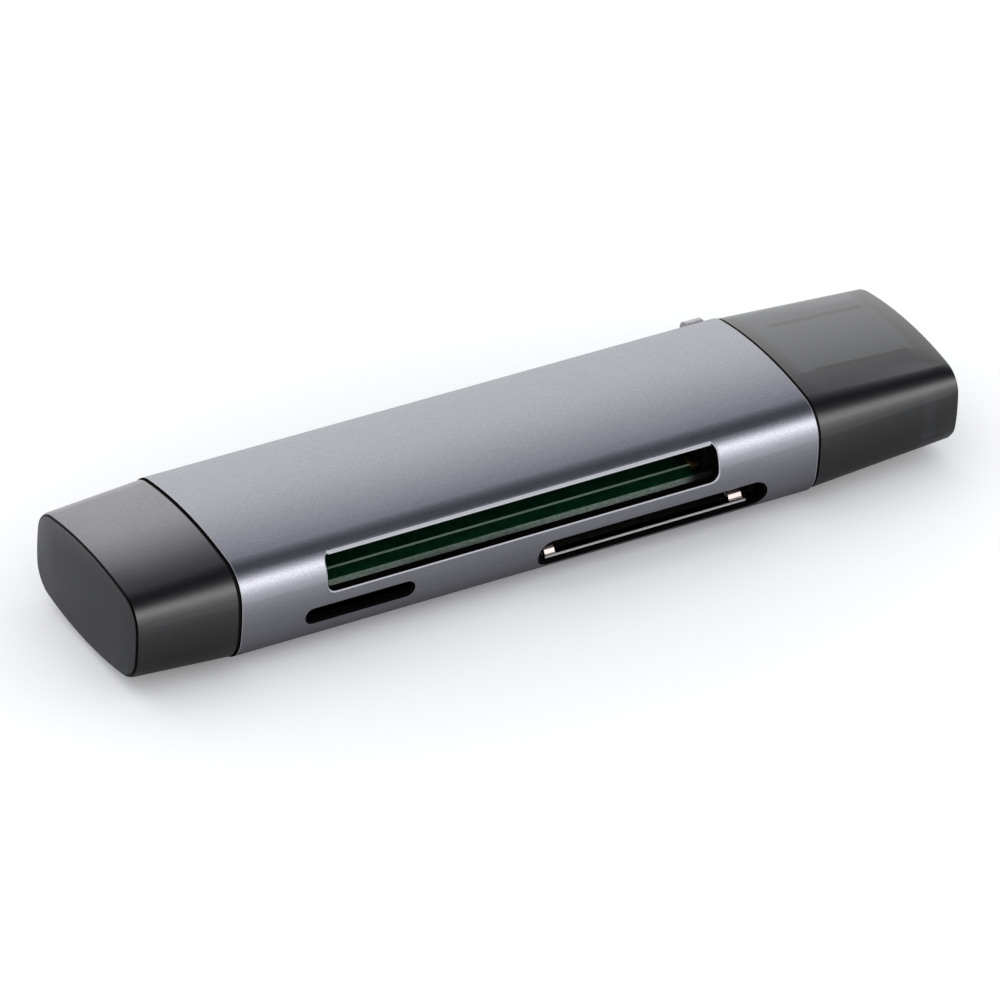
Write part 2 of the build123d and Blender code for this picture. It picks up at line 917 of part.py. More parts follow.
small_socket_contacts = socket_contacts(
    small_socket_x,
    small_socket_front,
    small_socket_depth,
    small_base_sizes,
    small_contact_sizes,
)
finish(small_socket_contacts, "small_socket_contacts")

# Rectangular plug: a folded steel shell with latch windows, a seam and solder ears
rectangular_shell_length = rectangular_plug_tip - rectangular_plug_rear
ear_x = rectangular_plug_rear + plug_ear_root_gap + plug_ear_length / 2

with BuildPart() as rectangular_plug_shell:
    with BuildSketch(cross(rectangular_plug_rear)):
        RectangleRounded(
            rectangular_plug_width,
            rectangular_plug_height,
            rectangular_plug_corner_radius,
        )
        offset(amount=-rectangular_plug_sheet, mode=Mode.SUBTRACT)
    extrude(amount=rectangular_shell_length)
    with BuildSketch(Plane.XY.offset(mid_z)):
        with Locations((rectangular_plug_tip - plug_window_setback, 0)):
            with GridLocations(plug_window_length, plug_window_spacing, 1, 2):
                Rectangle(plug_window_length, plug_window_width)
    extrude(amount=rectangular_plug_height, both=True, mode=Mode.SUBTRACT)
    with BuildSketch(Plane.XY.offset(mid_z)):
        with Locations((rectangular_plug_tip, 0)):
            Rectangle(
                rectangular_shell_length,
                plug_seam_width,
                align=(Align.MAX, Align.CENTER),
            )
    extrude(amount=-rectangular_plug_height, mode=Mode.SUBTRACT)
    with BuildSketch(Plane.XY.offset(board_top)):
        ear_y = (rectangular_plug_width + plug_ear_reach - rectangular_plug_sheet) / 2
        with Locations((ear_x, ear_y), (ear_x, -ear_y)):
            Rectangle(plug_ear_length, plug_ear_reach + rectangular_plug_sheet)
    extrude(amount=plug_ear_thickness)
finish(rectangular_plug_shell, "rectangular_plug_shell")

# Rectangular plug: insulator block with a tongue along its lower wall
inner_plug_width = rectangular_plug_width - 2 * rectangular_plug_sheet
inner_plug_height = rectangular_plug_height - 2 * rectangular_plug_sheet
inner_plug_corner = rectangular_plug_corner_radius - rectangular_plug_sheet
tongue_bottom = insulator_clearance - inner_plug_height / 2
tongue_top = tongue_bottom + tongue_thickness
tongue_end = rectangular_plug_tip - insulator_tip_setback

with BuildPart() as rectangular_plug_insulator:
    with BuildSketch(cross(rectangular_plug_rear)):
        RectangleRounded(inner_plug_width, inner_plug_height, inner_plug_corner)
        offset(amount=-insulator_clearance)
    extrude(amount=insulator_block_length)
    with BuildSketch(cross(rectangular_plug_rear)):
        RectangleRounded(inner_plug_width, inner_plug_height, inner_plug_corner)
        offset(amount=-insulator_clearance)
        with Locations((0, tongue_top)):
            Rectangle(
                inner_plug_width,
                inner_plug_height,
                align=(Align.CENTER, Align.MIN),
                mode=Mode.SUBTRACT,
            )
    extrude(amount=tongue_end - rectangular_plug_rear)
finish(rectangular_plug_insulator, "rectangular_plug_insulator")

# Rectangular plug: flat contacts at the tip, raised contacts behind them, solder tails
tongue_top_z = mid_z + tongue_top
flat_contact_end = tongue_end - flat_contact_setback
flat_contact_places = [
    side * spacing / 2
    for spacing in (outer_contact_spacing, inner_contact_spacing)
    for side in (-1, 1)
]
raised_contact_x = (
    flat_contact_end - flat_contact_length - raised_contact_gap - raised_contact_length / 2
)

with BuildPart() as rectangular_plug_flat_contacts:
    with BuildSketch(Plane.XY.offset(tongue_top_z)):
        with Locations((flat_contact_end, 0)):
            with Locations([(0, place) for place in flat_contact_places]):
                Rectangle(
                    flat_contact_length,
                    flat_contact_width,
                    align=(Align.MAX, Align.CENTER),
                )
    extrude(amount=flat_contact_thickness)
finish(rectangular_plug_flat_contacts, "rectangular_plug_flat_contacts")

with BuildPart() as rectangular_plug_raised_contacts:
    raised_places = row_places(raised_contact_count, raised_contact_pitch)
    with BuildSketch(*[Plane.XZ.offset(place) for place in raised_places]):
        with BuildLine():
            bump = ThreePointArc(
                (raised_contact_x - raised_contact_length / 2, tongue_top_z),
                (raised_contact_x, tongue_top_z + raised_contact_height),
                (raised_contact_x + raised_contact_length / 2, tongue_top_z),
            )
            Line(bump @ 1, bump @ 0)
        make_face()
    extrude(amount=raised_contact_width / 2, both=True)
finish(rectangular_plug_raised_contacts, "rectangular_plug_raised_contacts")

tail_count = len(flat_contact_places) + raised_contact_count

with BuildPart() as rectangular_plug_tails:
    with BuildSketch(Plane.XY.offset(board_top)):
        with Locations((rectangular_plug_rear - tail_length / 2, 0)):
            with GridLocations(tail_length, tail_pitch, 1, tail_count):
                Rectangle(tail_length, tail_width)
    extrude(amount=tail_thickness)
finish(rectangular_plug_tails, "rectangular_plug_tails")

# Oval plug: a drawn steel shell
oval_shell_rear = left_end + oval_shell_root

with BuildPart() as oval_plug_shell:
    with BuildSketch(cross(oval_plug_tip)):
        SlotOverall(oval_plug_width, oval_plug_height)
        SlotOverall(
            oval_plug_width - 2 * oval_plug_sheet,
            oval_plug_height - 2 * oval_plug_sheet,
            mode=Mode.SUBTRACT,
        )
    extrude(amount=oval_shell_rear - oval_plug_tip)
finish(oval_plug_shell, "oval_plug_shell")

# Oval plug: insulator with two contact walls in front and a slotted block behind
oval_block_front_x = left_end - collar_flange - spigot_length - oval_block_front
oval_wall_front_x = oval_plug_tip + oval_tip_setback
contact_inner = board_thickness / 2
contact_outer = contact_inner + oval_contact_thickness
oval_inset = oval_plug_sheet + insulator_clearance

with BuildPart() as oval_plug_insulator:
    with BuildSketch(cross(oval_wall_front_x)):
        SlotOverall(
            oval_plug_width - 2 * oval_inset, oval_plug_height - 2 * oval_inset
        )
    extrude(amount=oval_block_rear - oval_wall_front_x)
    with BuildSketch(cross(oval_wall_front_x)):
        Rectangle(oval_plug_width, 2 * contact_outer)
        for side in (-1, 1):
            with Locations((side * oval_mouth_width / 2, 0)):
                Rectangle(
                    oval_plug_width,
                    oval_plug_height,
                    align=(Align.MIN if side > 0 else Align.MAX, Align.CENTER),
                )
    extrude(amount=oval_block_front_x - oval_wall_front_x, mode=Mode.SUBTRACT)
    with BuildSketch(cross(oval_block_front_x)):
        channel_height = oval_contact_thickness + 2 * oval_channel_clearance
        channel_z = (contact_inner + contact_outer) / 2
        with GridLocations(oval_contact_pitch, 2 * channel_z, oval_contact_count, 2):
            Rectangle(
                oval_contact_width + 2 * oval_channel_clearance, channel_height
            )
    extrude(amount=oval_block_rear - oval_block_front_x, mode=Mode.SUBTRACT)
finish(oval_plug_insulator, "oval_plug_insulator")

with BuildPart() as oval_plug_contacts:
    with BuildSketch(cross(oval_wall_front_x)):
        with GridLocations(
            oval_contact_pitch,
            contact_inner + contact_outer,
            oval_contact_count,
            2,
        ):
            Rectangle(oval_contact_width, oval_contact_thickness)
    extrude(amount=oval_tail_end - oval_wall_front_x)
finish(oval_plug_contacts, "oval_plug_contacts")

# Oval plug: side latches that grip the socket, rooted on the insulator block
latch_y = oval_plug_width / 2 - oval_plug_sheet - latch_thickness
latch_tip_x = oval_block_front_x - latch_length

with BuildPart() as oval_plug_latches:
    for side in (-1, 1):
        with BuildSketch(Plane.XY.offset(mid_z)):
            with BuildLine():
                Polyline(
                    (oval_block_front_x, side * latch_y),
                    (latch_tip_x + latch_hook_length, side * latch_y),
                    (
                        latch_tip_x + latch_hook_length / 2,
                        side * (latch_y - latch_hook_depth),
                    ),
                    (latch_tip_x, side * latch_y),
                    (latch_tip_x, side * (latch_y - latch_thickness)),
                    (
                        latch_tip_x + latch_hook_length / 2,
                        side * (latch_y - latch_thickness - latch_hook_depth),
                    ),
                    (
                        latch_tip_x + latch_hook_length,
                        side * (latch_y - latch_thickness),
                    ),
                    (oval_block_front_x, side * (latch_y - latch_thickness)),
                    close=True,
                )
            make_face()
        extrude(amount=latch_height / 2, both=True)
finish(oval_plug_latches, "oval_plug_latches")

# Controller chip under the board, with gull-wing leads on its four sides
crystal_y = board_front + crystal_edge_gap + crystal_width / 2
capacitor_y = crystal_y + crystal_width / 2 + chip_row_gap + chip_capacitor_length / 2
lead_span_half = chip_body_size / 2 + chip_lead_reach
chip_y = capacitor_y + chip_capacitor_length / 2 + chip_row_gap + lead_span_half
chip_top = board_bottom - chip_standoff
lead_exit_z = chip_top - chip_body_thickness / 2

with BuildPart() as controller_chip:
    with BuildSketch(Plane.XY.offset(chip_top)):
        with Locations((chip_bay_x, chip_y)):
            Rectangle(chip_body_size, chip_body_size)
    extrude(amount=-chip_body_thickness)
finish(controller_chip, "controller_chip")


def lead_plane(turn, place):
    """Upright plane square to one side of the chip, at one lead's place along it."""
    outward = Vector(1, 0, 0).rotate(Axis.Z, 90 * turn)
    along = Vector(0, 1, 0).rotate(Axis.Z, 90 * turn)
    root = Vector(chip_bay_x, chip_y, 0) + outward * (chip_body_size / 2) + along * place
    return Plane(origin=root, x_dir=outward, z_dir=outward.cross(Vector(0, 0, 1)))


with BuildPart() as controller_leads:
    knee = chip_lead_reach - chip_lead_foot
    lead_places = row_places(chip_lead_count, chip_lead_pitch)
    with BuildSketch(*[lead_plane(turn, place) for turn in range(4) for place in lead_places]):
        with BuildLine():
            Polyline(
                (0, lead_exit_z),
                (knee / 2, lead_exit_z),
                (knee, board_bottom - chip_lead_thickness),
                (chip_lead_reach, board_bottom - chip_lead_thickness),
                (chip_lead_reach, board_bottom),
                (knee, board_bottom),
                (knee / 2, lead_exit_z + chip_lead_thickness),
                (0, lead_exit_z + chip_lead_thickness),
                close=True,
            )
        make_face()
    extrude(amount=chip_lead_width / 2, both=True)
finish(controller_leads, "controller_leads")

# Small parts round the chip
with BuildPart() as crystal:
    with BuildSketch(Plane.XY.offset(board_bottom)):
        with Locations((chip_bay_x - (crystal_gap + crystal_length) / 2, crystal_y)):
            RectangleRounded(crystal_length, crystal_width, crystal_corner_radius)
    extrude(amount=-crystal_height)
finish(crystal, "crystal")

with BuildPart() as regulator:
    with BuildSketch(Plane.XY.offset(board_bottom)):
        with Locations((chip_bay_x + (crystal_gap + regulator_length) / 2, crystal_y)):
            Rectangle(regulator_length, regulator_width)
    extrude(amount=-regulator_height)
finish(regulator, "regulator")

with BuildPart() as chip_capacitors:
    with BuildSketch(Plane.XY.offset(board_bottom)):
        with Locations((chip_bay_x, capacitor_y)):
            with GridLocations(
                chip_capacitor_pitch, chip_capacitor_length, chip_capacitor_count, 1
            ):
                Rectangle(chip_capacitor_width, chip_capacitor_length)
    extrude(amount=-chip_capacitor_height)
finish(chip_capacitors, "chip_capacitors")

resistor_x = chip_bay_x + lead_span_half + chip_row_gap + chip_resistor_length / 2

with BuildPart() as chip_resistors:
    with BuildSketch(Plane.XY.offset(board_bottom)):
        with Locations((resistor_x, chip_y)):
            with GridLocations(
                chip_resistor_length, chip_resistor_pitch, 1, chip_resistor_count
            ):
                Rectangle(chip_resistor_length, chip_resistor_width)
    extrude(amount=-chip_resistor_height)
finish(chip_resistors, "chip_resistors")

# Status lamp on top of the board, between the header's right arm and the plug
with BuildPart() as status_lamp:
    with BuildSketch(Plane.XY.offset(board_top)):
        with Locations(
            (rectangular_plug_rear - lamp_plug_gap, board_front + lamp_edge_gap)
        ):
            Rectangle(lamp_width, lamp_length, align=(Align.CENTER, Align.MIN))
    extrude(amount=lamp_height)
finish(status_lamp, "status_lamp")

# Lanyard eye: a pierced lug against the tube's back, with a shank into the right collar
with BuildPart() as lanyard_eye:
    with BuildSketch(cross(eye_x - eye_width / 2)):
        with Locations((eye_y, eye_lift)):
            Circle(eye_radius)
            Rectangle(
                eye_stand_off + tube_wall, eye_neck_height, align=(Align.MAX, Align.CENTER)
            )
    extrude(amount=eye_width)
    extrude(
        tube_face(eye_x - eye_width, -eye_seat_gap),
        amount=2 * eye_width,
        mode=Mode.SUBTRACT,
    )
    with BuildSketch(Plane.XZ.offset(-eye_y)):
        with Locations((eye_x, eye_z)):
            Circle(eye_shank_radius)
    extrude(amount=eye_shank_length)
    with BuildSketch(cross(eye_x - eye_width / 2)):
        with Locations((eye_y, eye_lift)):
            Circle(eye_hole_radius)
    extrude(amount=eye_width, mode=Mode.SUBTRACT)
finish(lanyard_eye, "lanyard_eye")
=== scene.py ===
"""Looks and stage for the pocket card reader, laid out as a Blender add-on."""
import json
import math

import bpy
from bpy.props import FloatProperty, FloatVectorProperty, PointerProperty
from mathutils import Matrix, Vector


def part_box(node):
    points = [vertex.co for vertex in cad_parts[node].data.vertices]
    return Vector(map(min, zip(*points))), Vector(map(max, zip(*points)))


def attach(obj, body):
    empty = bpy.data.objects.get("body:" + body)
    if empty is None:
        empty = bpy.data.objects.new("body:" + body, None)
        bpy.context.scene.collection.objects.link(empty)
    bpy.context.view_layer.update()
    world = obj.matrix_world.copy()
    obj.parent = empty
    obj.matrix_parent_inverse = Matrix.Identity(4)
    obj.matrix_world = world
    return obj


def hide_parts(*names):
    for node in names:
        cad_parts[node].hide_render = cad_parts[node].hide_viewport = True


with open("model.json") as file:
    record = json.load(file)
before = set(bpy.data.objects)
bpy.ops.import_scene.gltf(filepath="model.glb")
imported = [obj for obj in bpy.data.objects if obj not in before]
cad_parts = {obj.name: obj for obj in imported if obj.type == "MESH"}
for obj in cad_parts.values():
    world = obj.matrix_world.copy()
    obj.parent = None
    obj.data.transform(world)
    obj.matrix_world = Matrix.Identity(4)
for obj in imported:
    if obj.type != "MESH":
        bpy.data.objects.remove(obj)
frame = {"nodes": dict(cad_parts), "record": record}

bl_info = {
    "name": "Pocket Card Reader",
    "version": (1, 0, 0),
    "blender": (4, 5, 0),
    "location": "View3D > Sidebar > Card Reader",
    "description": "Finishes a pocket card reader and sets it on a plain stage",
    "category": "Add Mesh",
}

MM = 0.001

WELD_DISTANCE = 0.001 * MM
SMOOTH_ANGLE = math.radians(28)
SHEET_EDGE_RADIUS = 0.03 * MM
# Depths of the cover's cut edge, painted pale as a highlight, and of the painted shade behind
# it in the socket's mouth
SHEARED_HIGHLIGHT_DEPTH = 0.17 * MM
MOUTH_SHADE_DEPTH = 0.8 * MM
SENSOR_WIDTH_MM = 36.0

IN_SHADOW = (0.006, 0.006, 0.007)
WHITE = (1.0, 1.0, 1.0)

# The sky's brightness as it turns from the horizon behind the object (0) over the top
# (0.5) to the horizon in front (1)
STRIPS = (
    (0.0, 0.365), (0.18, 0.385), (0.22, 0.365), (0.267, 0.277), (0.311, 0.19),
    (0.356, 0.13), (0.422, 0.07), (0.511, 0.03), (0.600, 0.04), (0.650, 0.09),
    (0.705, 0.21), (0.740, 0.46), (0.785, 0.76), (0.825, 0.85), (0.860, 0.84),
    (0.895, 0.62), (0.930, 0.48), (1.0, 0.40))


# Settings that a user would change

class OpeningSettings(bpy.types.PropertyGroup):
    """Sizes of the three card openings, which the bare rims with their painted highlight and
    the walls' painted shade follow.
    """

    wide_width: FloatProperty(
        name="Wide width", description="Width of the wide card opening",
        default=43.5 * MM, unit="LENGTH")
    wide_height: FloatProperty(
        name="Wide height", description="Height of the wide card opening",
        default=3.76 * MM, unit="LENGTH")
    wide_corner: FloatProperty(
        name="Wide corner", description="Corner radius of the wide card opening",
        default=0.9 * MM, unit="LENGTH")
    standard_width: FloatProperty(
        name="Standard width", description="Width of the standard card opening",
        default=25.6 * MM, unit="LENGTH")
    standard_height: FloatProperty(
        name="Standard height", description="Height of the standard card opening",
        default=2.76 * MM, unit="LENGTH")
    small_width: FloatProperty(
        name="Small width", description="Width of the small card opening",
        default=11.66 * MM, unit="LENGTH")
    small_height: FloatProperty(
        name="Small height", description="Height of the small card opening",
        default=1.44 * MM, unit="LENGTH")
    # The bright rim is bare metal lit as a painted highlight
    rim_highlight_reach: FloatProperty(
        name="Rim reach", description="How far the bright rim of the wide opening reaches",
        default=0.18 * MM, unit="LENGTH")
    # A painted highlight line along each end of the tube
    end_highlight_width: FloatProperty(
        name="Edge reach", description="Width of the bright line at each end of the tube",
        default=0.09 * MM, unit="LENGTH")


class FinishSettings(bpy.types.PropertyGroup):
    """Colours and textures of the finishes."""

    anodised: FloatVectorProperty(
        name="Anodised grey", description="Colour of the anodised tube",
        default=(0.416, 0.416, 0.462), subtype="COLOR")
    anodised_roughness: FloatProperty(
        name="Anodised roughness", description="Roughness of the blasted surface",
        default=0.26, min=0, max=1, subtype="FACTOR")
    grain_size: FloatProperty(
        name="Blast grain", description="Size of the bead-blasted grain",
        default=0.17 * MM, unit="LENGTH")
    # Bare machined metal, made bright as a painted highlight on the rims
    bare_metal_highlight: FloatVectorProperty(
        name="Bare metal", description="Colour of the frosted bare edges",
        default=(0.62, 0.62, 0.66), subtype="COLOR")
    smoke: FloatVectorProperty(
        name="Smoke", description="Colour of the smoked plastic where it is thick",
        default=(0.003, 0.003, 0.0035), subtype="COLOR")
    smoke_lit: FloatVectorProperty(
        name="Smoke over the hollow", description="Colour where light comes through",
        default=(0.057, 0.059, 0.065), subtype="COLOR")
    # A painted sheen on the short cap's top, over its fine grain
    smoke_sheen: FloatVectorProperty(
        name="Sheened smoke", description="Colour of the frosted top of the short cap",
        default=(0.225, 0.222, 0.236), subtype="COLOR")
    smoke_end: FloatVectorProperty(
        name="Smoked end", description="Colour of the short cap's closed end",
        default=(0.022, 0.022, 0.025), subtype="COLOR")
    moulding: FloatVectorProperty(
        name="Black moulding", description="Colour of the black mouldings",
        default=(0.0022, 0.0022, 0.0025), subtype="COLOR")
    solder_mask: FloatVectorProperty(
        name="Solder mask", description="Colour of the circuit board's coating",
        default=(0.004, 0.045, 0.022), subtype="COLOR")
    laminate: FloatVectorProperty(
        name="Laminate", description="Colour of the board's cut edge",
        default=(0.33, 0.42, 0.36), subtype="COLOR")
    print_line: FloatVectorProperty(
        name="Print", description="Colour of the line printed along the board",
        default=(0.56, 0.74, 0.63), subtype="COLOR")
    plug_steel: FloatVectorProperty(
        name="Plug steel", description="Colour of the plated plug shells",
        default=(0.62, 0.61, 0.60), subtype="COLOR")
    socket_steel: FloatVectorProperty(
        name="Socket steel", description="Colour of the bright socket covers",
        default=(0.74, 0.72, 0.72), subtype="COLOR")
    lead_in_steel: FloatVectorProperty(
        name="Lead-in steel", description="Colour of the springs at the socket's mouth",
        default=(0.72, 0.62, 0.60), subtype="COLOR")
    gold: FloatVectorProperty(
        name="Gold", description="Colour of the gold plating",
        default=(0.86, 0.60, 0.24), subtype="COLOR")


class StageSettings(bpy.types.PropertyGroup):
    """Camera, lamp, sky and floor."""

    azimuth: FloatProperty(
        name="Azimuth", description="How far the camera stands to the left of the front",
        default=math.radians(32.31), subtype="ANGLE")
    elevation: FloatProperty(
        name="Elevation", description="Height of the camera above the horizon",
        default=math.radians(33.46), subtype="ANGLE")
    roll: FloatProperty(
        name="Roll", description="Turn of the camera about its line of sight",
        default=math.radians(3.28), subtype="ANGLE")
    distance: FloatProperty(
        name="Distance", description="From the camera to the point it aims at",
        default=0.8896, unit="LENGTH")
    lens: FloatProperty(
        name="Lens", description="Focal length for a sensor 36 mm wide, in mm",
        default=330.4)
    aim_right: FloatProperty(
        name="Aim right", description="From the tube's middle to the aim, along the image",
        default=2.19 * MM, unit="LENGTH")
    aim_up: FloatProperty(
        name="Aim up", description="From the tube's middle to the aim, up the image",
        default=-1.56 * MM, unit="LENGTH")
    floor_size: FloatProperty(
        name="Floor", description="Width of the floor", default=4.0, unit="LENGTH")
    floor_colour: FloatVectorProperty(
        name="Floor colour", description="Colour of the floor",
        default=(0.97, 0.97, 0.97), subtype="COLOR")
    floor_lift: FloatProperty(
        name="Floor lift", description="What the eye adds to the far floor to see it white",
        default=0.27)
    fill: FloatProperty(
        name="Fill", description="Strength of the even light from all round", default=0.80)
    strip_level: FloatProperty(
        name="Strips", description="Strength of the bright strips in reflections",
        default=2.7)
    key_power: FloatProperty(
        name="Key", description="Power of the lamp above and behind, in watts",
        default=0.9)


# Shader building

class Value:
    """A number in a node tree, so that shader maths reads as an expression."""

    def __init__(self, recipe, socket):
        self.recipe = recipe
        self.socket = socket

    def _math(self, operation, first, second):
        return self.recipe.node(
            "ShaderNodeMath", {"operation": operation}, {0: first, 1: second})

    def __add__(self, other):
        return self._math("ADD", self, other)

    def __radd__(self, other):
        return self._math("ADD", other, self)

    def __sub__(self, other):
        return self._math("SUBTRACT", self, other)

    def __rsub__(self, other):
        return self._math("SUBTRACT", other, self)

    def __mul__(self, other):
        return self._math("MULTIPLY", self, other)

    def __rmul__(self, other):
        return self._math("MULTIPLY", other, self)

    def __truediv__(self, other):
        return self._math("DIVIDE", self, other)

    def __pow__(self, other):
        return self._math("POWER", self, other)

    def __lt__(self, other):
        return self._math("LESS_THAN", self, other)

    def __gt__(self, other):
        return self._math("GREATER_THAN", self, other)

    def __abs__(self):
        return self._math("ABSOLUTE", self, 0.0)

    def at_least(self, bound):
        return self._math("MAXIMUM", self, bound)

    def at_most(self, bound):
        return self._math("MINIMUM", self, bound)

    def turn_from(self, base):
        """The angle whose tangent is this value over the base."""
        return self._math("ARCTAN2", self, base)

    def between(self, low, high):
        """A mask of the places where the value lies between two bounds."""
        return (self > low) * (self < high)


class Recipe:
    """The node tree of one material or of the world, built up node by node."""

    def __init__(self, owner):
        owner.use_nodes = True
        self.tree = owner.node_tree
        self.tree.nodes.clear()

    def node(self, kind, settings=None, inputs=None, out=0):
        """Adds a node: its settings first, then the values or links of its sockets."""
        made = self.tree.nodes.new(kind)
        for name, value in (settings or {}).items():
            if name == "stops":
                ramp = made.color_ramp.elements
                while len(ramp) < len(value):
                    ramp.new(1.0)
                for stop, (position, level) in zip(ramp, value):
                    stop.position = position
                    stop.color = (level, level, level, 1.0)
            else:
                setattr(made, name, value)
        for name, value in (inputs or {}).items():
            socket = made.inputs[name]
            if isinstance(value, Value):
                self.tree.links.new(value.socket, socket)
            elif hasattr(value, "__len__") and len(socket.default_value) > len(value):
                socket.default_value = (*value, 1.0)
            else:
                socket.default_value = value
        if not made.outputs:
            return None
        return Value(self, made.outputs[out])

    def split(self, vector):
        """The three parts of a vector."""
        parts = self.tree.nodes.new("ShaderNodeSeparateXYZ")
        self.tree.links.new(vector.socket, parts.inputs[0])
        return [Value(self, output) for output in parts.outputs]

    def place(self):
        """The point on the object as a vector, and its three parts."""
        point = self.node("ShaderNodeTexCoord", out="Object")
        return point, self.split(point)

    def rays(self, *kinds):
        """For each kind of ray named, a mask that is 1 when such a ray looks."""
        path = self.tree.nodes.new("ShaderNodeLightPath")
        return [Value(self, path.outputs[f"Is {kind} Ray"]) for kind in kinds]

    def noise(self, point, size, detail=2.0, roughness=0.5):
        """Smooth noise from 0 to 1 whose spots are about size across."""
        return self.node(
            "ShaderNodeTexNoise", None,
            {"Vector": point, "Scale": 1.0 / size, "Detail": detail,
             "Roughness": roughness}, "Fac")

    def stretched(self, point, stretch):
        """The point with its parts scaled, to draw a pattern out along one axis."""
        return self.node(
            "ShaderNodeMapping", {"vector_type": "POINT"},
            {"Vector": point, "Scale": stretch})

    def mix(self, mask, low, high):
        """One colour where the mask is 0 and the other where it is 1."""
        return self.node(
            "ShaderNodeMix", {"data_type": "RGBA"}, {0: mask, 6: low, 7: high}, 2)

    def speckle(self, pattern, colour, dark, bright):
        """A colour that the pattern takes from darker to brighter."""
        return self.mix(pattern, toned(colour, dark), toned(colour, bright))

    def scaled(self, colour, level):
        """A colour times a level that varies from place to place."""
        return self.node(
            "ShaderNodeVectorMath", {"operation": "SCALE"}, {0: colour, "Scale": level})

    def range(self, value, low, high, to_low=0.0, to_high=1.0):
        """A value taken smoothly from one range to another."""
        return self.node(
            "ShaderNodeMapRange", {"interpolation_type": "SMOOTHSTEP"},
            {"Value": value, "From Min": low, "From Max": high,
             "To Min": to_low, "To Max": to_high})

    def ramp(self, value, stops):
        """A grey level that follows the stops as the value goes from 0 to 1."""
        return self.node(
            "ShaderNodeValToRGB", {"stops": stops}, {"Fac": value})

    def bump(self, height, distance, strength=1.0):
        """A normal that follows a height, in metres at full strength."""
        return self.node(
            "ShaderNodeBump", None,
            {"Height": height, "Distance": distance, "Strength": strength}, "Normal")

    def surface(self, **sockets):
        """Ends a material in a Principled shader, its sockets named with underscores."""
        named = {name.replace("_", " ").title().replace("Ior", "IOR"): value
                 for name, value in sockets.items()}
        shader = self.node("ShaderNodeBsdfPrincipled", None, named)
        self.node("ShaderNodeOutputMaterial", None, {"Surface": shader})

    def glow(self, colour, strength):
        """The light that the world sends to one kind of ray."""
        return self.node(
            "ShaderNodeBackground", None, {"Color": colour, "Strength": strength})

    def choose(self, mask, low, high):
        """One shader where the mask is 0 and the other where it is 1."""
        return self.node("ShaderNodeMixShader", None, {0: mask, 1: low, 2: high})


def toned(colour, level):
    """A colour made darker or brighter all over."""
    return [level * part for part in colour]


def new_material(name):
    """An empty material and its recipe."""
    material = bpy.data.materials.new(name)
    return material, Recipe(material)


def dress(node, material):
    """Gives a CAD node one material in all its slots."""
    for slot in frame["nodes"][node].material_slots:
        slot.material = material


def welded_skin(node, body, material):
    """A copy of a solid with its triangles joined, so that light runs smoothly over it."""
    bpy.ops.object.select_all(action="DESELECT")
    skin = bpy.data.objects.new(f"{node}_skin", frame["nodes"][node].data.copy())
    bpy.context.collection.objects.link(skin)
    skin.select_set(True)
    bpy.context.view_layer.objects.active = skin
    bpy.ops.object.mode_set(mode="EDIT")
    bpy.ops.mesh.select_all(action="SELECT")
    bpy.ops.mesh.remove_doubles(threshold=WELD_DISTANCE)
    bpy.ops.mesh.customdata_custom_splitnormals_clear()
    bpy.ops.object.mode_set(mode="OBJECT")
    bpy.ops.object.shade_smooth_by_angle(angle=SMOOTH_ANGLE)
    skin.data.materials.clear()
    skin.data.materials.append(material)
    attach(skin, body)
    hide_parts(node)


def mount_place(name):
    """Where one of the record's mounts lies, in metres."""
    mounts = {mount["name"]: mount for mount in frame["record"]["mounts"]}
    return mounts[name]["pos_m"]


def rounded_distance(x, z, centre, width, height, corner):
    """Distance outside a rounded rectangle drawn on the front of the tube."""
    beyond_x = (abs(x - centre[0]) - (width / 2 - corner)).at_least(0.0)
    beyond_z = (abs(z - centre[1]) - (height / 2 - corner)).at_least(0.0)
    return (beyond_x * beyond_x + beyond_z * beyond_z) ** 0.5 - corner


# Finishes

def opening_rims(x, y, z, openings):
    """Masks of the bright bare rims, lit as a painted highlight, and of the painted shade on
    the walls of the three openings.

    The outline's inside holds the walls, at its edge, and further in only the folded upper
    rim, which is lit bright as a painted highlight but for its anodised crest."""
    further_in, crest, lit_strip = 0.05 * MM, 0.06 * MM, 0.15 * MM
    front_wall = 1.5 * MM
    bright = 0.0
    dark = 0.0
    for mount, width, height, corner, bare_highlight_reach, painted_shade_reach in (
        ("wide_card_opening", openings.wide_width, openings.wide_height,
         openings.wide_corner, openings.rim_highlight_reach, 0.08 * MM),
        ("standard_card_opening", openings.standard_width, openings.standard_height,
         openings.standard_height / 2, 0.0, 0.21 * MM),
        ("small_card_opening", openings.small_width, openings.small_height,
         openings.small_height / 2, 0.0, 0.21 * MM),
    ):
        place = mount_place(mount)
        distance = rounded_distance(x, z, (place[0], place[2]), width, height, corner)
        top = place[2] + height / 2
        folded = (distance < -further_in) * (z > top - corner)
        # The bare rims, lit bright as a painted highlight, but not the folded rim's anodised
        # crest
        bright = bright + (distance < bare_highlight_reach) * (1 - folded * (z > top - crest))
        below_lit = 1 - (z > top - lit_strip)
        # Painted shade on the walls, stopping below their lit upper strip and off the folded
        # rim
        dark = dark + (distance < painted_shade_reach) * (1 - folded) * below_lit
    in_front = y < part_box("aluminium_tube")[0].y + front_wall
    return bright * in_front, dark * in_front


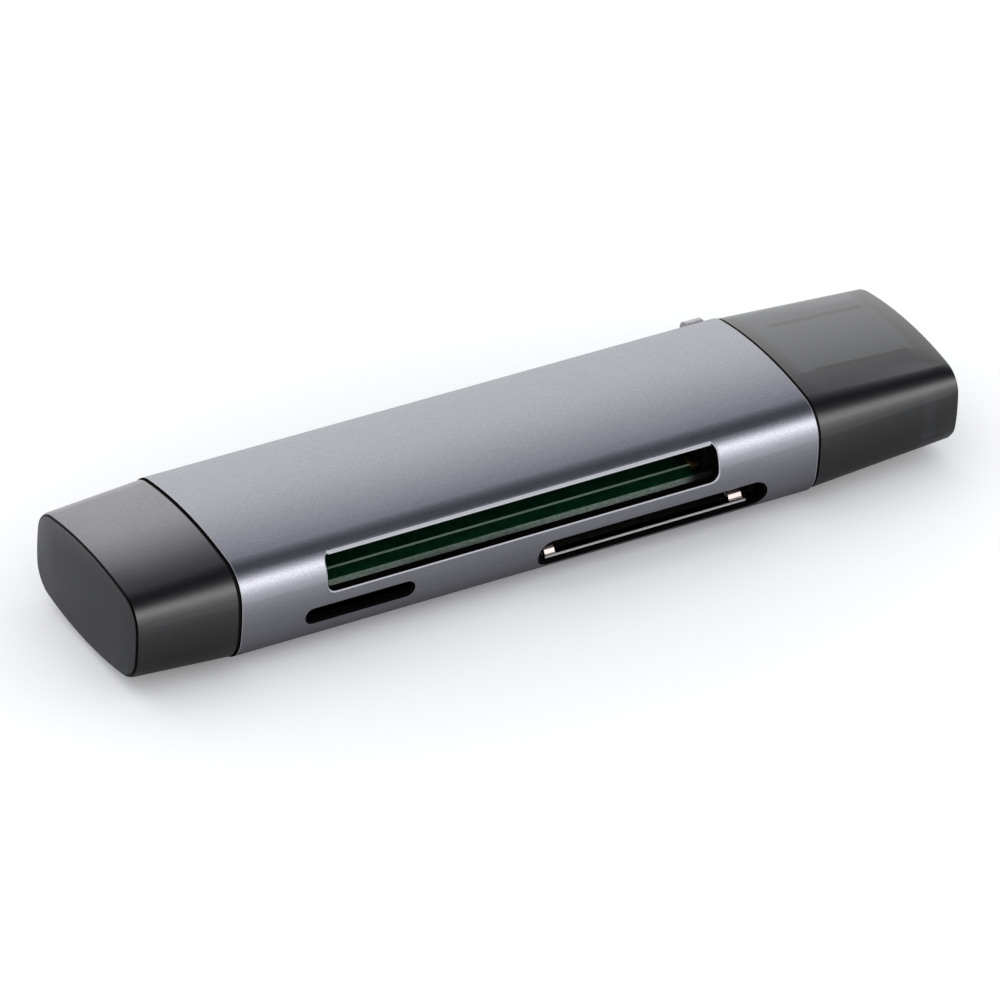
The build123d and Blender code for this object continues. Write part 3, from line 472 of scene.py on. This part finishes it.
def anodised_aluminium(finish, openings):
    """Bead-blasted, anodised aluminium with a bare machined rim at its edges, lit bright as a
    painted highlight, and painted shade on the openings' walls and on the tube's end faces.
    """
    material, recipe = new_material("anodised_aluminium")
    point, (x, y, z) = recipe.place()
    bright, dark = opening_rims(x, y, z, openings)
    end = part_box("aluminium_tube")[1].x
    end_face = 0.01 * MM
    # A painted highlight line along each end of the tube
    bright = bright + 0.35 * (abs(x) > end - openings.end_highlight_width)
    # Painted shade on the tube's end faces, in the seams at the collars
    dark = (dark + (abs(x) > end - end_face)).at_most(1.0)
    # The bare rim with its painted highlight, where no painted shade lies
    rim = bright.at_most(1.0) * (1 - dark)
    grain = recipe.noise(point, finish.grain_size, 3.0, 0.7)
    cloud = recipe.noise(point, 9 * MM, 2.0)
    tint = recipe.scaled(finish.anodised, 0.69 + 0.56 * grain + 0.08 * cloud)
    recipe.surface(
        base_color=recipe.mix(
            dark, recipe.mix(rim, tint, finish.bare_metal_highlight), IN_SHADOW),
        metallic=1 - rim,
        roughness=finish.anodised_roughness - 0.03 + 0.06 * cloud + 0.2 * rim + 0.6 * dark,
        normal=recipe.bump(grain, 0.014 * MM, 0.55),
    )
    return material


def cast_lug():
    """Satin cast metal of the lanyard eye."""
    material, recipe = new_material("lug_metal")
    point, _ = recipe.place()
    skin = recipe.noise(point, 0.25 * MM, 3.0)
    recipe.surface(
        base_color=recipe.mix(skin, (0.50, 0.50, 0.52), (0.64, 0.64, 0.66)),
        metallic=1.0,
        roughness=0.34 + 0.12 * skin,
        normal=recipe.bump(skin, 0.02 * MM, 0.5),
    )
    return material


def long_cap_glow(recipe, x, y, on_top):
    """Painted light for the light that comes through the long cap: over its hollow, less at
    its ribs and closed end, only on its top, plus a painted gleam low on its front near the
    end.
    """
    low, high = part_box("long_cap")
    seam, end = low.x, high.x
    hollow_edge, hollow_lit = seam + 0.3 * MM, seam + 2.0 * MM
    wall_edge, wall_dark = end - 2.8 * MM, end - 1.7 * MM
    over_hollow = (
        recipe.range(x, hollow_edge, hollow_lit, 0.25, 1.0)
        * (1 - recipe.range(x, wall_edge, wall_dark, 0.0, 0.9)))

    rib_y, rib_half, rib_shade = 4.4 * MM, 0.14 * MM, 0.85
    rib_start, rib_full = seam + 2.8 * MM, seam + 3.4 * MM
    rib_fades, rib_end = end - 3.0 * MM, end - 2.5 * MM
    rib_span = (
        recipe.range(x, rib_start, rib_full)
        * (1 - recipe.range(x, rib_fades, rib_end)))
    rib_distance = abs(abs(y) - rib_y)
    rib = rib_span * (1 - recipe.range(rib_distance, rib_half, 3 * rib_half))

    bend_start, bend_end = -8.6 * MM, -7.4 * MM
    past_front_rib = recipe.range(y, -rib_y - rib_half, -rib_y + rib_half, 0.30, 1.0)
    pane = (past_front_rib * on_top
            * (1 - recipe.range(y, bend_start, bend_end, 1.0, 0.0)))

    # A painted gleam low on the front, near the closed end
    side_y, gleam_x, gleam_half = -9.2 * MM, end - 3.6 * MM, 0.5 * MM
    gleam = (y < side_y) * recipe.range(
        abs(x - gleam_x), gleam_half, 2 * gleam_half, 0.16, 0.0)
    return over_hollow * (1 - rib_shade * rib) * pane + gleam


def smoked_plastic(finish):
    """Smoked plastic: black where it is thick, paler where light comes through it, that light
    painted in, and with a painted sheen on the short cap's top.
    """
    material, recipe = new_material("smoked_plastic")
    point, (x, y, _) = recipe.place()
    long_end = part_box("long_cap")[1].x
    short_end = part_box("short_cap")[0].x
    back_bend, back = 8.2 * MM, 9.8 * MM
    on_top = 1 - recipe.range(y, back_bend, back)
    # A painted sheen: the short cap's top made paler towards the back
    sheen_start, sheen_full = -7.6 * MM, 2.0 * MM
    sheened = (x < 0.0) * recipe.range(y, sheen_start, sheen_full) * on_top
    end_face = x < short_end + 0.03 * MM

    texture = recipe.noise(point, 0.20 * MM, 3.0, 0.7)
    body = recipe.mix(
        long_cap_glow(recipe, x, y, on_top), finish.smoke, finish.smoke_lit)
    sheen = recipe.speckle(texture, finish.smoke_sheen, 0.6, 1.4)
    body = recipe.mix(sheened * (1 - end_face), body, sheen)
    body = recipe.mix(end_face, body, finish.smoke_end)

    ring_near, ring_far = 0.04 * MM, 0.19 * MM
    ring = (x.between(long_end - ring_far, long_end - ring_near)
            + x.between(short_end + ring_near, short_end + ring_far))
    recipe.surface(
        base_color=recipe.mix(ring, body, (0.004, 0.004, 0.004)),
        metallic=ring,
        roughness=0.17 + 0.10 * texture,
        ior=1.5,
        specular_ior_level=0.8,
        coat_weight=0.52 * (1 - ring),
        coat_roughness=0.2,
        normal=recipe.bump(texture, 0.014 * MM, 0.6),
    )
    return material


def black_moulding(finish):
    """Satin black moulded plastic with a faint eroded texture."""
    material, recipe = new_material("black_moulding")
    point, _ = recipe.place()
    texture = recipe.noise(point, 0.12 * MM, 2.0, 0.6)
    recipe.surface(
        base_color=recipe.speckle(texture, finish.moulding, 1.0, 1.8),
        roughness=0.45 + 0.14 * texture,
        specular_ior_level=0.12,
        normal=recipe.bump(texture, 0.01 * MM, 0.5),
    )
    return material


def chip_epoxy():
    """Dull moulded epoxy."""
    material, recipe = new_material("chip_epoxy")
    point, _ = recipe.place()
    texture = recipe.noise(point, 0.08 * MM, 3.0, 0.7)
    recipe.surface(
        base_color=recipe.mix(texture, (0.014, 0.014, 0.015), (0.034, 0.034, 0.036)),
        roughness=0.55 + 0.15 * texture,
        normal=recipe.bump(texture, 0.01 * MM, 0.6),
    )
    return material


def board_laminate(finish):
    """Green solder mask over copper, a printed line along the front, pale cut edges.

    Towards the right end of the wide opening the board lies in deep shade."""
    material, recipe = new_material("board_laminate")
    point, (x, y, z) = recipe.place()
    low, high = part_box("main_board")
    mask_skin = 0.035 * MM
    line_front, line_back = low.y + 1.60 * MM, low.y + 1.94 * MM
    edge_shade, top_shade, shade_full = 17.6 * MM, 18.8 * MM, 19.8 * MM

    top = z > high.z - mask_skin
    face = top.at_least(z < low.z + mask_skin)
    line = top * y.between(line_front, line_back)
    blotches = recipe.noise(point, 1.1 * MM, 3.0, 0.6)
    green = recipe.speckle(
        recipe.range(blotches, 0.35, 0.65), finish.solder_mask, 0.7, 1.25)
    green = recipe.mix(
        recipe.range(x, top_shade, shade_full), green, (0.003, 0.003, 0.002))
    wear = recipe.noise(point, 0.35 * MM, 3.0, 0.6)
    ink = recipe.speckle(wear, finish.print_line, 0.7, 1.2)
    glass = recipe.noise(recipe.stretched(point, (1.0, 1.0, 3.0)), 0.5 * MM, 4.0, 0.7)
    cut = recipe.speckle(recipe.range(glass, 0.3, 0.7), finish.laminate, 0.6, 1.3)
    cut = recipe.mix(
        recipe.range(x, edge_shade, shade_full), cut, (0.006, 0.005, 0.004))
    recipe.surface(
        base_color=recipe.mix(face, cut, recipe.mix(line, green, ink)),
        roughness=0.72 - 0.42 * face + 0.2 * line,
        normal=recipe.bump(glass, 0.03 * MM, 0.4),
    )
    return material


def sheet_steel(name, colour, roughness, lip_y=None):
    """Plated sheet steel with the faint drawn lines of the rolled strip.

    In front of lip_y the edge is shear-cut bare and painted pale as a highlight, and the lip
    behind that edge is in painted shade, the dark of the mouth."""
    material, recipe = new_material(name)
    point, (_, y, _) = recipe.place()
    lines = recipe.noise(recipe.stretched(point, (0.05, 1.0, 1.0)), 0.06 * MM, 3.0, 0.6)
    stain = recipe.noise(point, 2.5 * MM, 2.0)
    plate = recipe.speckle(stain, colour, 0.9, 1.0)
    sheared_highlight = 0.0
    if lip_y is not None:
        # Painted highlight on the cut edge in front, painted shade on the lip behind it
        sheared_highlight = y < lip_y
        plate = recipe.mix(y < lip_y + MOUTH_SHADE_DEPTH, plate, (0.03, 0.03, 0.03))
    recipe.surface(
        base_color=recipe.mix(sheared_highlight, plate, (0.93, 0.92, 0.91)),
        metallic=1.0 - sheared_highlight,
        roughness=roughness + 0.12 * lines + 0.05 * stain,
        normal=recipe.bump(lines, 0.004 * MM, 0.5),
    )
    return material


def plated(name, colour, roughness):
    """Thin plating on a stamped contact or pin, a little uneven."""
    material, recipe = new_material(name)
    point, _ = recipe.place()
    tarnish = recipe.noise(point, 0.4 * MM, 3.0, 0.6)
    recipe.surface(
        base_color=recipe.speckle(tarnish, colour, 0.8, 1.0),
        metallic=1.0,
        roughness=roughness + 0.14 * tarnish,
        normal=recipe.bump(tarnish, 0.006 * MM, 0.5),
    )
    return material


def ceramic():
    """Tan ceramic, slightly uneven."""
    material, recipe = new_material("capacitor_ceramic")
    point, _ = recipe.place()
    body = recipe.noise(point, 0.3 * MM, 2.0)
    recipe.surface(
        base_color=recipe.mix(body, (0.30, 0.20, 0.11), (0.40, 0.28, 0.16)),
        roughness=0.45 + 0.1 * body,
    )
    return material


def lamp_lens():
    """Milky lens of the status lamp."""
    material, recipe = new_material("lamp_lens")
    point, _ = recipe.place()
    haze = recipe.noise(point, 0.3 * MM, 2.0)
    recipe.surface(
        base_color=recipe.mix(haze, (0.75, 0.76, 0.70), (0.88, 0.88, 0.84)),
        roughness=0.18 + 0.1 * haze,
        ior=1.5,
        transmission_weight=0.4,
    )
    return material


# Pieces that the solids leave out

def pick(piece, test):
    """Enters edit mode with the vertices selected whose place passes the test."""
    bpy.ops.object.mode_set(mode="EDIT")
    bpy.ops.mesh.select_mode(type="VERT")
    bpy.ops.mesh.select_all(action="DESELECT")
    bpy.ops.object.mode_set(mode="OBJECT")
    for vertex in piece.data.vertices:
        vertex.select = test(vertex.co)
    bpy.ops.object.mode_set(mode="EDIT")


def finish_with(piece, kind, **settings):
    """Adds a modifier with its settings and applies it."""
    modifier = piece.modifiers.new(kind.title(), kind)
    for name, value in settings.items():
        setattr(modifier, name, value)
    bpy.ops.object.modifier_apply(modifier=modifier.name)


def folded_rim(openings):
    """A bar under the wide opening's upper edge, its face leaning back as the tube bends."""
    middle, _, level = mount_place("wide_card_opening")
    opening_top = level + openings.wide_height / 2
    tube_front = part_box("aluminium_tube")[0].y
    end_gap, lean = 0.25 * MM, 0.39 * MM
    front, back = tube_front + 1.19 * MM, tube_front + 1.80 * MM
    under, top = opening_top - 0.224 * MM, opening_top + 0.086 * MM
    centre_y, centre_z = (front + back) / 2, (under + top) / 2
    bpy.ops.object.select_all(action="DESELECT")
    bpy.ops.mesh.primitive_cube_add(
        size=1, location=(middle, centre_y, centre_z),
        scale=(openings.wide_width - 2 * end_gap, back - front, top - under))
    rim = bpy.context.object
    bpy.ops.object.transform_apply(location=True, rotation=True, scale=True)
    pick(rim, lambda co: co.y < centre_y and co.z > centre_z)
    bpy.ops.transform.translate(value=(0, lean, 0))
    bpy.ops.object.mode_set(mode="OBJECT")
    finish_with(rim, "BEVEL", width=SHEET_EDGE_RADIUS, segments=2)
    return rim


def lead_in_spring(x, lip, lift, width):
    """A bent strip that stands up from the cover's lip and curls back down on to its ramp."""
    foot, foot_height, sheet = 0.12 * MM, 0.36 * MM, 0.15 * MM
    landing = -0.20 * MM - lift
    foot_y = lip.y + foot / 2
    bpy.ops.object.select_all(action="DESELECT")
    bpy.ops.mesh.primitive_plane_add(
        size=1, location=(x, foot_y, lip.z + lift + foot_height))
    spring = bpy.context.object
    spring.scale = (width, foot, 1)
    bpy.ops.object.transform_apply(location=True, rotation=True, scale=True)
    pick(spring, lambda co: co.y > foot_y)
    for run, rise in (
        (0.22 * MM, 0.40 * MM), (0.22 * MM, 0.14 * MM), (0.45 * MM, 0.03 * MM),
        (0.80 * MM, landing),
    ):
        bpy.ops.mesh.extrude_region_move(
            TRANSFORM_OT_translate={"value": (0, run, rise)})
    bpy.ops.object.mode_set(mode="OBJECT")
    finish_with(spring, "SOLIDIFY", thickness=sheet, offset=-1)
    finish_with(spring, "BEVEL", width=SHEET_EDGE_RADIUS, segments=2)
    return spring


# Operators

class DressTube(bpy.types.Operator):
    """Finish the aluminium tube and its lanyard eye"""
    bl_idname = "card_reader.dress_tube"
    bl_label = "Dress Tube"

    def execute(self, context):
        scene = context.scene
        welded_skin(
            "aluminium_tube", "reader",
            anodised_aluminium(scene.card_reader_finish, scene.card_reader_openings))
        dress("lanyard_eye", cast_lug())
        return {"FINISHED"}


class FoldUpperRim(bpy.types.Operator):
    """Fold the thick upper rim of the wide opening down along the bend of the tube"""
    bl_idname = "card_reader.fold_upper_rim"
    bl_label = "Fold Upper Rim"

    def execute(self, context):
        rim = folded_rim(context.scene.card_reader_openings)
        rim.name = "wide_opening_upper_rim"
        rim.data.materials.append(bpy.data.objects["aluminium_tube_skin"].data.materials[0])
        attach(rim, "reader")
        return {"FINISHED"}


class DressCaps(bpy.types.Operator):
    """Finish the two smoked caps"""
    bl_idname = "card_reader.dress_caps"
    bl_label = "Dress Caps"

    def execute(self, context):
        material = smoked_plastic(context.scene.card_reader_finish)
        for node in ("long_cap", "short_cap"):
            welded_skin(node, node, material)
        return {"FINISHED"}


class DressMouldings(bpy.types.Operator):
    """Finish the collars, socket bases, header and insulators"""
    bl_idname = "card_reader.dress_mouldings"
    bl_label = "Dress Mouldings"

    def execute(self, context):
        material = black_moulding(context.scene.card_reader_finish)
        for node in (
            "rectangular_end_collar", "oval_end_collar", "wide_card_header",
            "standard_socket_base", "small_socket_base",
            "rectangular_plug_insulator", "oval_plug_insulator",
        ):
            dress(node, material)
        return {"FINISHED"}


class DressMetalwork(bpy.types.Operator):
    """Finish the plug shells, socket covers, pins and contacts"""
    bl_idname = "card_reader.dress_metalwork"
    bl_label = "Dress Metalwork"

    def execute(self, context):
        finish = context.scene.card_reader_finish
        steel = sheet_steel("plug_steel", finish.plug_steel, 0.20)
        lip_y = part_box("standard_socket_cover")[0].y + SHEARED_HIGHLIGHT_DEPTH
        bright = sheet_steel("socket_steel", finish.socket_steel, 0.22, lip_y)
        gold = plated("gold_plating", finish.gold, 0.18)
        brass = plated("brass_strip", (0.52, 0.36, 0.13), 0.32)
        tin = plated("tinned_pins", (0.66, 0.65, 0.62), 0.30)
        for material, nodes in (
            (steel, ("rectangular_plug_shell", "oval_plug_shell", "oval_plug_latches")),
            (bright, ("standard_socket_cover", "small_socket_cover")),
            (gold, ("wide_card_pins", "standard_socket_contacts", "small_socket_contacts",
                    "rectangular_plug_flat_contacts", "rectangular_plug_raised_contacts",
                    "oval_plug_contacts")),
            (brass, ("header_hold_downs",)),
            (tin, ("controller_leads", "rectangular_plug_tails")),
        ):
            for node in nodes:
                dress(node, material)
        return {"FINISHED"}


class BendLeadIns(bpy.types.Operator):
    """Bend the two lead-in springs at the mouth of the standard card socket"""
    bl_idname = "card_reader.bend_lead_ins"
    bl_label = "Bend Lead-ins"

    def execute(self, context):
        finish = context.scene.card_reader_finish
        material = sheet_steel("lead_in_steel", finish.lead_in_steel, 0.26)
        lip, far_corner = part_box("standard_socket_cover")
        for name, x, lift, width in (
            ("left_lead_in", lip.x + 2.18 * MM, 0.0, 1.15 * MM),
            ("right_lead_in", far_corner.x - 2.77 * MM, 0.2 * MM, 1.5 * MM),
        ):
            spring = lead_in_spring(x, lip, lift, width)
            spring.name = name
            spring.data.materials.append(material)
            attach(spring, "reader")
        return {"FINISHED"}


class DressBoard(bpy.types.Operator):
    """Finish the circuit board and the small parts on it"""
    bl_idname = "card_reader.dress_board"
    bl_label = "Dress Board"

    def execute(self, context):
        dress("main_board", board_laminate(context.scene.card_reader_finish))
        epoxy = chip_epoxy()
        for node in ("controller_chip", "regulator", "chip_resistors"):
            dress(node, epoxy)
        dress("crystal", plated("crystal_can", (0.62, 0.61, 0.58), 0.25))
        dress("chip_capacitors", ceramic())
        dress("status_lamp", lamp_lens())
        return {"FINISHED"}


# Stage

def line_of_sight(stage):
    """The camera's right, up and back directions."""
    azimuth, elevation, roll = stage.azimuth, stage.elevation, stage.roll
    back = Vector((
        -math.sin(azimuth) * math.cos(elevation),
        -math.cos(azimuth) * math.cos(elevation),
        math.sin(elevation),
    ))
    level_right = Vector((math.cos(azimuth), -math.sin(azimuth), 0))
    level_up = back.cross(level_right)
    right = math.cos(roll) * level_right + math.sin(roll) * level_up
    up = math.cos(roll) * level_up - math.sin(roll) * level_right
    return right, up, back


def add_camera(stage):
    """The camera at the photograph's angle."""
    low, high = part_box("aluminium_tube")
    right, up, back = line_of_sight(stage)
    aim = (Vector((0, 0, (low.z + high.z) / 2))
           + stage.aim_right * right + stage.aim_up * up)
    camera = bpy.data.objects.new("camera", bpy.data.cameras.new("camera"))
    bpy.context.collection.objects.link(camera)
    turn = Matrix((right, up, back)).transposed()
    camera.matrix_world = (
        Matrix.Translation(aim + stage.distance * back) @ turn.to_4x4())
    camera.data.sensor_width = SENSOR_WIDTH_MM
    camera.data.lens = stage.lens
    camera.data.clip_start = 0.05
    camera.data.clip_end = 20.0
    bpy.context.scene.camera = camera


def add_lamp(name, place, size, power, colour):
    """A soft rectangular lamp aimed at the object."""
    lamp = bpy.data.lights.new(name, "AREA")
    lamp.shape = "RECTANGLE"
    lamp.size, lamp.size_y = size
    lamp.energy = power
    lamp.color = colour
    holder = bpy.data.objects.new(name, lamp)
    bpy.context.collection.objects.link(holder)
    place = Vector(place)
    holder.location = place
    holder.rotation_mode = "QUATERNION"
    holder.rotation_quaternion = (-place).to_track_quat("-Z", "Y")
    holder.visible_camera = False
    holder.visible_glossy = False
    holder.visible_transmission = False


def add_floor(stage):
    """A pale floor that keeps the object's shadow.

    Reflections see it darker beside the object, a painted shade, and only the eye sees its
    far parts lifted to white, so that near the object it keeps a wider painted shadow."""
    bpy.ops.mesh.primitive_plane_add(size=stage.floor_size, location=(0, 0, 0))
    floor = bpy.context.object
    floor.name = "floor"
    material, recipe = new_material("floor")
    _, (x, y, _) = recipe.place()
    glossy, eye = recipe.rays("Glossy", "Camera")
    beside, clear = 12 * MM, 45 * MM
    # Painted shade in reflections of the floor beside the object
    reflected = recipe.scaled(
        stage.floor_colour, recipe.range(abs(y), beside, clear, 0.36, 1.0))
    # Less lift near the object: a painted shadow round it
    near, far, flatten = 14 * MM, 55 * MM, 0.65
    away = ((flatten * x) * (flatten * x) + y * y) ** 0.5
    lift = recipe.range(away, near, far, 0.5, 1.0) * stage.floor_lift
    recipe.surface(
        base_color=recipe.mix(glossy, stage.floor_colour, reflected),
        roughness=0.9,
        specular_ior_level=0.0,
        emission_color=recipe.scaled(WHITE, eye * lift),
        emission_strength=1.0,
    )
    floor.data.materials.append(material)


def light_world(stage):
    """An even fill for the surfaces, white for the eye, and soft strips for reflections."""
    world = bpy.data.worlds.new("studio")
    bpy.context.scene.world = world
    recipe = Recipe(world)
    direction = recipe.node("ShaderNodeTexCoord", out="Generated")
    _, y, z = recipe.split(direction)
    strips = recipe.ramp(z.turn_from(y) / math.pi, STRIPS)
    tint = recipe.mix(recipe.range(strips, 0.0, 0.35), (0.90, 0.90, 1.06), WHITE)
    eye, glossy, through = recipe.rays("Camera", "Glossy", "Transmission")
    fill = recipe.glow((0.96, 0.97, 1.0), stage.fill)
    reflected = recipe.glow(recipe.scaled(tint, strips), stage.strip_level)
    seen = recipe.choose(glossy, fill, reflected)
    seen = recipe.choose(through, seen, reflected)
    seen = recipe.choose(eye, seen, recipe.glow(WHITE, 1.0))
    recipe.node("ShaderNodeOutputWorld", None, {"Surface": seen})


class SetStage(bpy.types.Operator):
    """Add the floor, the lamp, the world and the camera"""
    bl_idname = "card_reader.set_stage"
    bl_label = "Set Stage"

    def execute(self, context):
        stage = context.scene.card_reader_stage
        add_camera(stage)
        add_floor(stage)
        add_lamp(
            "key", place=(-0.20, 0.35, 0.75), size=(0.9, 0.7), power=stage.key_power,
            colour=(1.0, 0.995, 0.985))
        light_world(stage)
        context.scene.view_settings.view_transform = "Standard"
        return {"FINISHED"}


class CardReaderPanel(bpy.types.Panel):
    """Lists the steps and the settings"""
    bl_idname = "VIEW3D_PT_card_reader"
    bl_label = "Card Reader"
    bl_space_type = "VIEW_3D"
    bl_region_type = "UI"
    bl_category = "Card Reader"

    def draw(self, context):
        for step in STEPS:
            self.layout.operator(step.bl_idname)
        for name, group in SETTINGS.items():
            box = self.layout.box()
            box.label(text=group.__doc__)
            settings = getattr(context.scene, name)
            for key in group.__annotations__:
                box.prop(settings, key)


SETTINGS = {
    "card_reader_openings": OpeningSettings,
    "card_reader_finish": FinishSettings,
    "card_reader_stage": StageSettings,
}
STEPS = (DressTube, FoldUpperRim, DressCaps, DressMouldings, DressMetalwork, BendLeadIns,
         DressBoard, SetStage)


def register():
    """Adds the settings, the operators and the panel to Blender."""
    for name, group in SETTINGS.items():
        bpy.utils.register_class(group)
        setattr(bpy.types.Scene, name, PointerProperty(type=group))
    for item in (*STEPS, CardReaderPanel):
        bpy.utils.register_class(item)


def unregister():
    """Takes them out again."""
    for item in (*STEPS, CardReaderPanel):
        bpy.utils.unregister_class(item)
    for name, group in SETTINGS.items():
        delattr(bpy.types.Scene, name)
        bpy.utils.unregister_class(group)


def main():
    """Builds everything."""
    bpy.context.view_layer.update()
    register()
    for step in STEPS:
        group, name = step.bl_idname.split(".")
        getattr(getattr(bpy.ops, group), name)()


if __name__ == "__main__":
    main()
